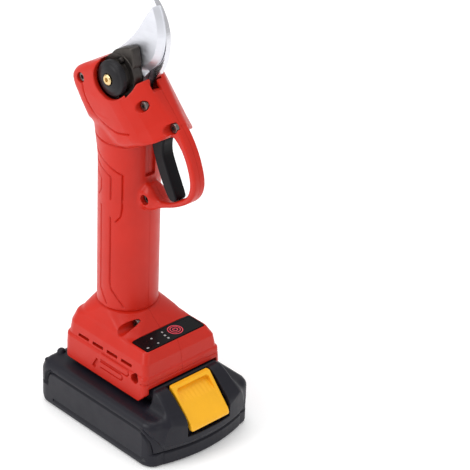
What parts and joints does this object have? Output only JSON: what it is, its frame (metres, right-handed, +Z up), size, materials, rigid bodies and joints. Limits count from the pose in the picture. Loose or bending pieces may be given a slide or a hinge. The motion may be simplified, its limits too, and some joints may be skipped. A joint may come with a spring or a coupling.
{
  "type": "battery electric pruner",
  "caption": "Hand-held battery pruner: a curved blade closes on a hooked counter blade, with a looped trigger guard, a round grip and a slide-on battery foot.",
  "frame": {"origin": "centre of the battery's flat bottom face", "axes": "+X to the trigger and battery latch side, -Y the side with the pivot cap and screw heads, +Z up the grip to the blades"},
  "size_m": [0.1106, 0.081, 0.2704],
  "materials": {
    "black_plastic": "satin",
    "blade_steel": "ground and polished",
    "board_green": "solder mask",
    "brass": "bright turned",
    "cell_wrap": "wrapped can",
    "charcoal_plastic": "matt, fine grained",
    "copper": "bright copper",
    "gear_steel": "machined, greased",
    "gloss_black": "gloss film",
    "gunmetal": "dark, oiled",
    "magnet": "plated",
    "motor_steel": "satin",
    "power_red": "gloss",
    "red_plastic": "satin, fine grained",
    "screw_steel": "bright zinc",
    "yellow_plastic": "satin"
  },
  "bodies": {
    "housing": {"blade_mount": "gunmetal", "blade_screw_1": "screw_steel", "blade_screw_2": "screw_steel", "cap_screw": "brass", "control_board": "board_green", "control_panel": "gloss_black", "display_board": "board_green", "fixed_blade": "blade_steel", "gearbox_cover": "motor_steel", "hall_board": "board_green", "housing_left": "red_plastic", "housing_right": "red_plastic", "housing_screw_1": "screw_steel", "housing_screw_2": "screw_steel", "housing_screw_3": "screw_steel", "housing_screw_4": "screw_steel", "housing_screw_5": "screw_steel", "housing_screw_6": "screw_steel", "motor_can": "motor_steel", "motor_end_cap": "black_plastic", "output_bearing": "motor_steel", "pivot_bolt": "screw_steel", "pivot_cap": "black_plastic", "pivot_nut": "screw_steel", "ring_gear": "gear_steel", "terminal_blade_1": "copper", "terminal_blade_2": "copper", "terminal_block": "black_plastic", "trigger_pin": "screw_steel", "trigger_spring": "screw_steel"},
    "jaw": {"moving_blade": "blade_steel", "blade_carrier": "gunmetal", "carrier_screw": "screw_steel", "bevel_sector": "gear_steel"},
    "drive": {"planet_carrier": "gear_steel", "bevel_pinion": "gear_steel"},
    "rotor": {"motor_rotor": "copper", "sun_gear": "gear_steel"},
    "planet_1": {"planet_gear_1": "gear_steel"},
    "planet_2": {"planet_gear_2": "gear_steel"},
    "planet_3": {"planet_gear_3": "gear_steel"},
    "trigger_lever": {"trigger": "black_plastic", "trigger_magnet": "magnet"},
    "battery": {"battery_board": "board_green", "battery_lower_case": "charcoal_plastic", "battery_screw_1": "screw_steel", "battery_screw_2": "screw_steel", "battery_screw_3": "screw_steel", "battery_screw_4": "screw_steel", "battery_upper_case": "charcoal_plastic", "cell_1": "cell_wrap", "cell_2": "cell_wrap", "cell_3": "cell_wrap", "cell_4": "cell_wrap", "cell_5": "cell_wrap", "contact_clip_1": "copper", "contact_clip_2": "copper", "latch_spring": "screw_steel"},
    "latch": {"battery_latch": "yellow_plastic"},
    "button": {"power_button": "power_red"}
  },
  "joints": [
    {"name": "jaw_open", "type": "hinge", "parent": "housing", "child": "jaw", "pos_m": [-0.015, 0, 0.222], "axis": [0, -1, 0], "range_deg": [0, 40]},
    {"name": "drive_spin", "type": "hinge", "parent": "housing", "child": "drive", "pos_m": [-0.015, 0, 0.17], "axis": [0, 0, 1], "range_deg": [-1, 121]},
    {"name": "motor_spin", "type": "hinge", "parent": "housing", "child": "rotor", "pos_m": [-0.015, 0, 0.11], "axis": [0, 0, 1], "range_deg": [-4, 484]},
    {"name": "planet_spin_1", "type": "hinge", "parent": "drive", "child": "planet_1", "pos_m": [-0.0078, 0, 0.148], "axis": [0, 0, 1], "range_deg": [-363, 3]},
    {"name": "planet_spin_2", "type": "hinge", "parent": "drive", "child": "planet_2", "pos_m": [-0.0186, 0.00624, 0.148], "axis": [0, 0, 1], "range_deg": [-363, 3]},
    {"name": "planet_spin_3", "type": "hinge", "parent": "drive", "child": "planet_3", "pos_m": [-0.0186, -0.00624, 0.148], "axis": [0, 0, 1], "range_deg": [-363, 3]},
    {"name": "trigger_pull", "type": "hinge", "parent": "housing", "child": "trigger_lever", "pos_m": [0.0095, 0, 0.191], "axis": [0, 1, 0], "range_deg": [0, 12], "stiffness_Nm_per_rad": 0.2, "springref_deg": -11.46},
    {"name": "battery_slide", "type": "slide", "parent": "housing", "child": "battery", "axis": [1, 0, 0], "range_m": [0, 0.07]},
    {"name": "latch_press", "type": "slide", "parent": "battery", "child": "latch", "axis": [0, 0, -1], "range_m": [0, 0.003], "stiffness_N_per_m": 800, "springref_m": -0.002, "deforming": ["latch_spring"]},
    {"name": "power_press", "type": "slide", "parent": "housing", "child": "button", "axis": [0, 0, -1], "range_m": [0, 0.0006], "stiffness_N_per_m": 2000, "springref_m": -0.0005}
  ],
  "couplings": [
    {"joint": "drive_spin", "follows": "jaw_open", "ratio": 3},
    {"joint": "motor_spin", "follows": "jaw_open", "ratio": 12},
    {"joint": "planet_spin_1", "follows": "jaw_open", "ratio": -9},
    {"joint": "planet_spin_2", "follows": "jaw_open", "ratio": -9},
    {"joint": "planet_spin_3", "follows": "jaw_open", "ratio": -9}
  ]
}
